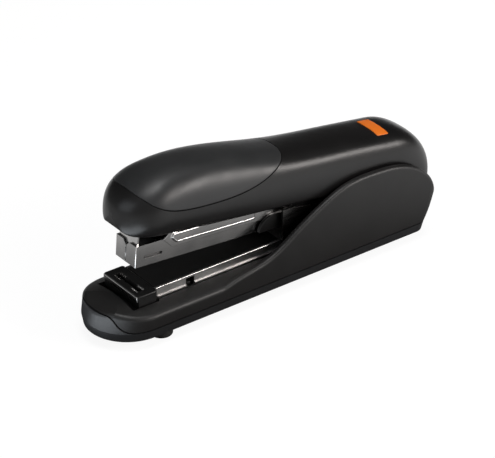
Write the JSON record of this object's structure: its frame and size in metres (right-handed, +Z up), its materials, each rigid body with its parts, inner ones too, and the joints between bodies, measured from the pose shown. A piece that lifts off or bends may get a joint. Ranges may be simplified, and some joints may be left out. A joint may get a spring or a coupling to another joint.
{
  "type": "desk stapler",
  "caption": "Desk stapler with a padded hollow handle and a sprung staple magazine hinged in a winged base, over a clinching table that sinks onto a fixed clincher.",
  "frame": {"origin": "on the desk under the middle of the stapler's length and width", "axes": "+X from the nose to the back, +Z up, -Y towards the side seen in the picture"},
  "size_m": [0.178, 0.04, 0.0736],
  "materials": {
    "cover_plastic": "fine satin grain",
    "grip_rubber": "soft matt",
    "base_plastic": "fine satin grain",
    "tray_plastic": "fine satin grain",
    "joint_plastic": "plain",
    "table_plastic": "plain",
    "foot_rubber": "matt",
    "plated_steel": "bright nickel plate",
    "spring_steel": "oiled",
    "follower_plastic": "plain"
  },
  "bodies": {
    "base": {"base_shell": "base_plastic", "bottom_cover": "tray_plastic", "rubber_feet": "foot_rubber", "base_screws": "plated_steel", "base_frame": "plated_steel", "hinge_pin": "plated_steel", "table_pin": "plated_steel", "clincher": "plated_steel", "table_spring": "spring_steel", "magazine_spring": "spring_steel"},
    "table": {"table_arm": "plated_steel", "arm_liner": "table_plastic", "table_block": "table_plastic", "table_edge": "plated_steel"},
    "slide": {"support_slide": "joint_plastic"},
    "magazine": {"magazine_channel": "plated_steel", "core_rail": "plated_steel", "pusher_rod": "plated_steel", "pusher_spring": "spring_steel", "magazine_arm": "plated_steel", "magazine_saddle": "joint_plastic", "handle_spring": "spring_steel"},
    "follower": {"pusher": "follower_plastic"},
    "handle": {"handle_cover": "cover_plastic", "grip_pad": "grip_rubber", "handle_frame": "plated_steel", "driver_blade": "plated_steel", "driver_rivets": "plated_steel"}
  },
  "joints": [
    {"name": "magazine_hinge", "type": "hinge", "parent": "base", "child": "magazine", "pos_m": [0.0642, 0, 0.0295], "axis": [0, 1, 0], "range_deg": [-4.33, 0], "stiffness_Nm_per_rad": 3, "springref_deg": 6.88, "deforming": ["magazine_spring"]},
    {"name": "handle_hinge", "type": "hinge", "parent": "magazine", "child": "handle", "pos_m": [0.0642, 0, 0.0295], "axis": [0, 1, 0], "range_deg": [-3.85, 35], "stiffness_Nm_per_rad": 2, "springref_deg": 1.15, "deforming": ["handle_spring"]},
    {"name": "table_hinge", "type": "hinge", "parent": "base", "child": "table", "pos_m": [0.0342, 0, 0.0174], "axis": [0, 1, 0], "range_deg": [-1.12, 0], "stiffness_Nm_per_rad": 3, "springref_deg": 2.86, "deforming": ["table_spring"]},
    {"name": "support_slide", "type": "slide", "parent": "base", "child": "slide", "axis": [1, 0, 0], "range_m": [0, 0.00161]},
    {"name": "pusher_slide", "type": "slide", "parent": "magazine", "child": "follower", "axis": [0.9971, 0, -0.0755], "range_m": [0, 0.06], "stiffness_N_per_m": 40, "springref_m": -0.05, "deforming": ["pusher_spring"]}
  ],
  "couplings": [
    {"joint": "support_slide", "follows": "table_hinge", "m_per_rad": -0.081915}
  ]
}
